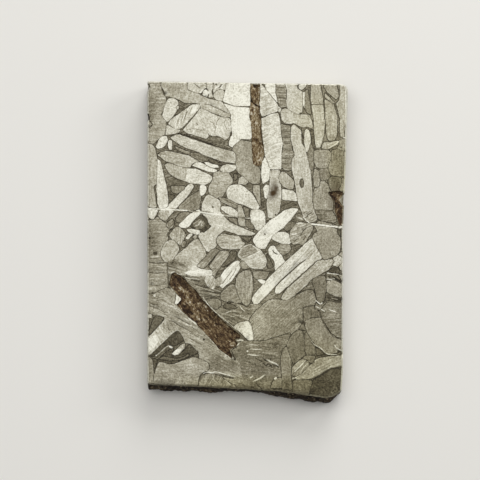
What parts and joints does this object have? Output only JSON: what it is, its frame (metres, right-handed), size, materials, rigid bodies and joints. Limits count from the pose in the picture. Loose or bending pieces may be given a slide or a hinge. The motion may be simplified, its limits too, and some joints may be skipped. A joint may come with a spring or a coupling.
{
  "type": "iron meteorite slice",
  "caption": "Thin oblong slice of an iron meteorite: one acid-etched face with recessed mineral inclusions, sawn edges and one rough natural crust edge.",
  "frame": {"origin": "under the middle of the slice's outline, on the flat back face that it rests on", "axes": "+Z out of the etched face, +Y along the length towards the sawn end, -Y towards the natural crust edge, +X to the right seen from above"},
  "size_m": [0.018, 0.029, 0.003],
  "materials": {
    "etched_iron": "acid-etched nickel-iron, satin, with dark grain edges, brown inclusions and a rough dark crust edge"
  },
  "bodies": {
    "root": {"meteorite_slice": "etched_iron"}
  },
  "joints": []
}
